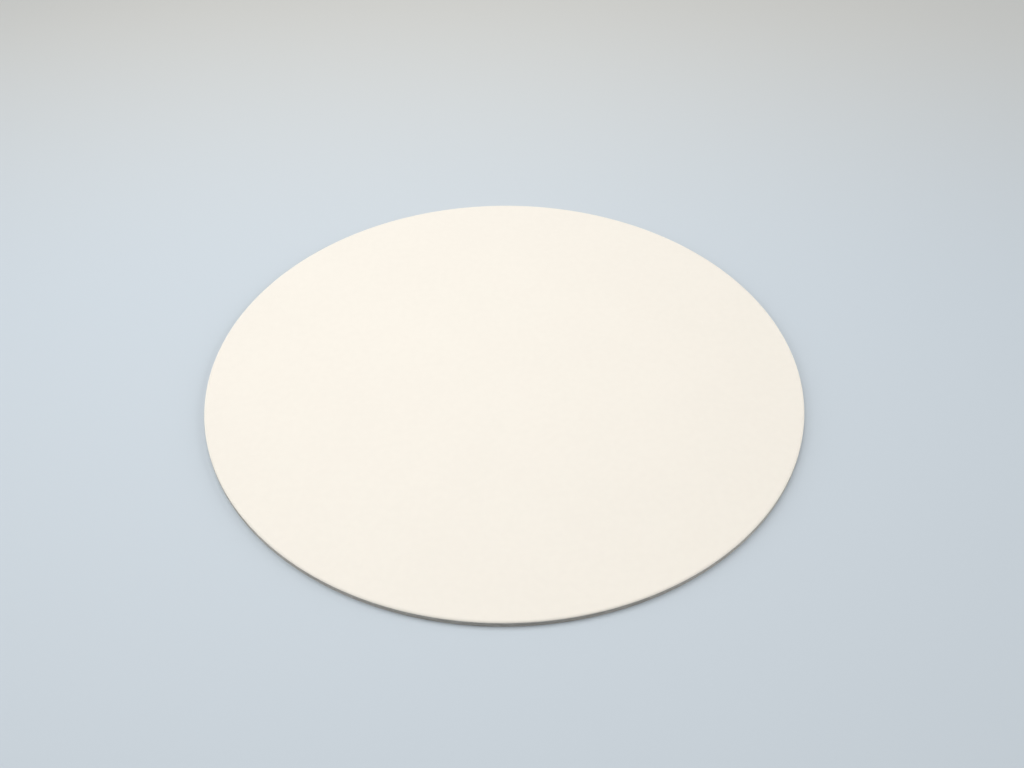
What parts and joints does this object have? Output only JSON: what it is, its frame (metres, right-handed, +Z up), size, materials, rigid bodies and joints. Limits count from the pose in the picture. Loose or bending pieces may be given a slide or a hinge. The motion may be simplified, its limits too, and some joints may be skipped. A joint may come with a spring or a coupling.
{
  "type": "cake board",
  "caption": "Flat round cake board: a thin, stiff disc of white-faced solid card with a cut edge, for standing, carrying or boxing a cake on.",
  "frame": {"origin": "centre of the underside, on the surface that the board lies on", "axes": "+Z straight up through the thickness, out of the white face; X and Y lie in the board and are alike"},
  "size_m": [0.203, 0.203, 0.002],
  "materials": {
    "white_card": "smooth satin white paper face over solid grey pulp card, with a bare cut edge"
  },
  "bodies": {
    "root": {"cake_board": "white_card"}
  },
  "joints": []
}
